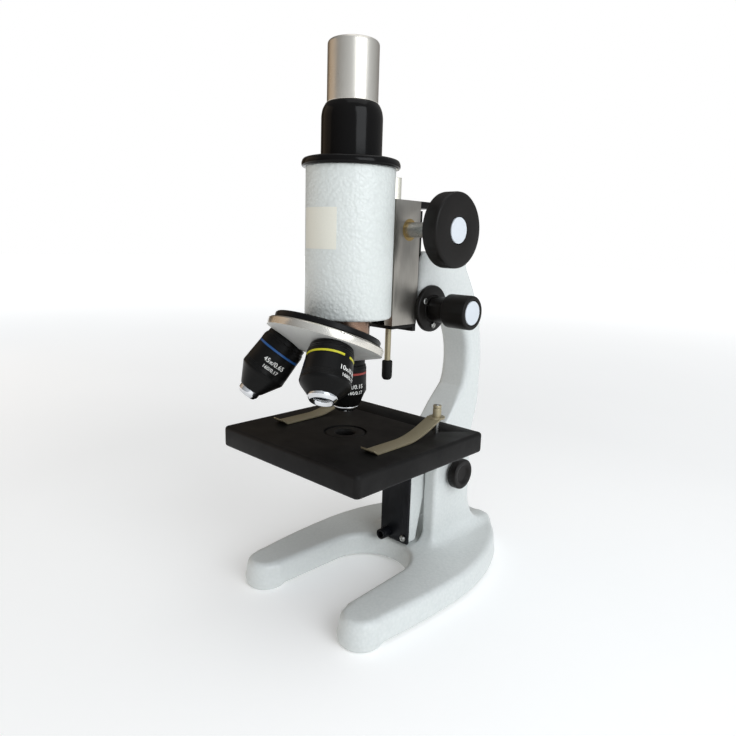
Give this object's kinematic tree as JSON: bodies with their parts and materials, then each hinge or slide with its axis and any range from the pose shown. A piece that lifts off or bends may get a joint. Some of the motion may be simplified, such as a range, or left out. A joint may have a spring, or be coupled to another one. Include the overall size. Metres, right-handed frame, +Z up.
{
  "type": "student microscope",
  "caption": "Upright monocular microscope with a tilting arm on a horseshoe foot, a turning nosepiece of objectives, a square stage with spring clips, and coarse and fine focusing.",
  "frame": {"origin": "on the table, on the underside of the foot, straight below the inclination joint", "axes": "+Z up along the body tube at rest, -Y to the front where the toes and the stage are, +X to the right when looking along +Y"},
  "size_m": [0.118, 0.1855, 0.3093],
  "materials": {
    "light_paint": "hammer-finish enamel",
    "white_paint": "hammer-finish enamel",
    "black_paint": "satin black enamel",
    "gloss_black": "gloss black lacquer",
    "black_plastic": "moulded",
    "white_plastic": "moulded",
    "satin_aluminium": "turned satin",
    "bright_steel": "turned",
    "chrome_trim": "polished",
    "bronze_steel": "dull nickelled brass",
    "brass_bush": "turned",
    "stop_rubber": "moulded",
    "lens_glass": "polished"
  },
  "bodies": {
    "base": {"foot_casting": "light_paint", "pivot_bolt": "bright_steel", "pivot_knobs": "black_plastic"},
    "arm": {"arm_casting": "light_paint", "stage_plate": "black_paint", "stage_insert": "black_paint", "stage_screws": "bright_steel", "clip_posts": "bright_steel", "mirror_bracket": "black_paint", "bracket_screws": "bright_steel", "mirror_socket": "black_paint", "fine_flanges": "black_paint", "flange_screws": "bright_steel", "fine_bushes": "brass_bush", "diaphragm_screw": "bright_steel"},
    "left_clip": {"clip_left": "bronze_steel", "clip_left_collar": "bronze_steel"},
    "right_clip": {"clip_right": "bronze_steel", "clip_right_collar": "bronze_steel"},
    "diaphragm": {"diaphragm_disc": "black_paint"},
    "fine_drive": {"fine_shaft": "bright_steel", "fine_knobs": "black_plastic", "fine_caps": "white_plastic"},
    "carriage": {"focus_block": "satin_aluminium", "guide_plate": "black_paint", "guide_screws": "bright_steel", "pinion_bushes": "brass_bush"},
    "coarse_drive": {"pinion_shaft": "bright_steel", "coarse_knobs": "black_plastic", "coarse_caps": "white_plastic"},
    "tube": {"body_tube": "white_paint", "tube_slide": "bronze_steel", "slide_screws": "bright_steel", "flange_ring": "gloss_black", "eyepiece_sleeve": "gloss_black", "stop_rod": "bronze_steel", "stop_tip": "stop_rubber", "nosepiece_neck": "bronze_steel", "nosepiece_plate": "black_paint", "turret_bolt": "bright_steel"},
    "turret": {"turret_disc": "satin_aluminium", "objective_low": "black_paint", "objective_mid": "black_paint", "objective_high": "black_paint", "objective_tips": "chrome_trim", "objective_lenses": "lens_glass"},
    "eyepiece": {"eyepiece_tube": "satin_aluminium", "eye_lens": "lens_glass", "field_lens": "lens_glass"}
  },
  "joints": [
    {"name": "arm_tilt", "type": "hinge", "parent": "base", "child": "arm", "pos_m": [0, 0, 0.0625], "axis": [-1, 0, 0], "range_deg": [0, 45]},
    {"name": "left_clip_swing", "type": "hinge", "parent": "arm", "child": "left_clip", "pos_m": [-0.0363, -0.0414, 0.1015], "axis": [0, 0, 1], "range_deg": [-60, 30]},
    {"name": "right_clip_swing", "type": "hinge", "parent": "arm", "child": "right_clip", "pos_m": [0.0363, -0.0414, 0.1015], "axis": [0, 0, 1], "range_deg": [-30, 60]},
    {"name": "diaphragm_turn", "type": "hinge", "parent": "arm", "child": "diaphragm", "pos_m": [0, -0.093, 0.0863], "axis": [0, 0, 1], "continuous": true},
    {"name": "fine_slide", "type": "slide", "parent": "arm", "child": "carriage", "axis": [0, 0, 1], "range_m": [-0.001, 0.001]},
    {"name": "fine_turn", "type": "hinge", "parent": "arm", "child": "fine_drive", "pos_m": [0, -0.021, 0.1705], "axis": [1, 0, 0], "range_deg": [-720, 720]},
    {"name": "coarse_slide", "type": "slide", "parent": "carriage", "child": "tube", "axis": [0, 0, 1], "range_m": [-0.004, 0.019]},
    {"name": "coarse_turn", "type": "hinge", "parent": "carriage", "child": "coarse_drive", "pos_m": [0, -0.0425, 0.2166], "axis": [1, 0, 0], "range_deg": [-227, 48]},
    {"name": "turret_turn", "type": "hinge", "parent": "tube", "child": "turret", "pos_m": [0, -0.08, 0.1994], "axis": [0, -0.3681, -0.9298], "continuous": true},
    {"name": "eyepiece_lift", "type": "slide", "parent": "tube", "child": "eyepiece", "axis": [0, 0, 1], "range_m": [0, 0.025]}
  ],
  "couplings": [
    {"joint": "fine_turn", "follows": "fine_slide", "rad_per_m": -12566},
    {"joint": "coarse_turn", "follows": "coarse_slide", "rad_per_m": -208.33}
  ]
}
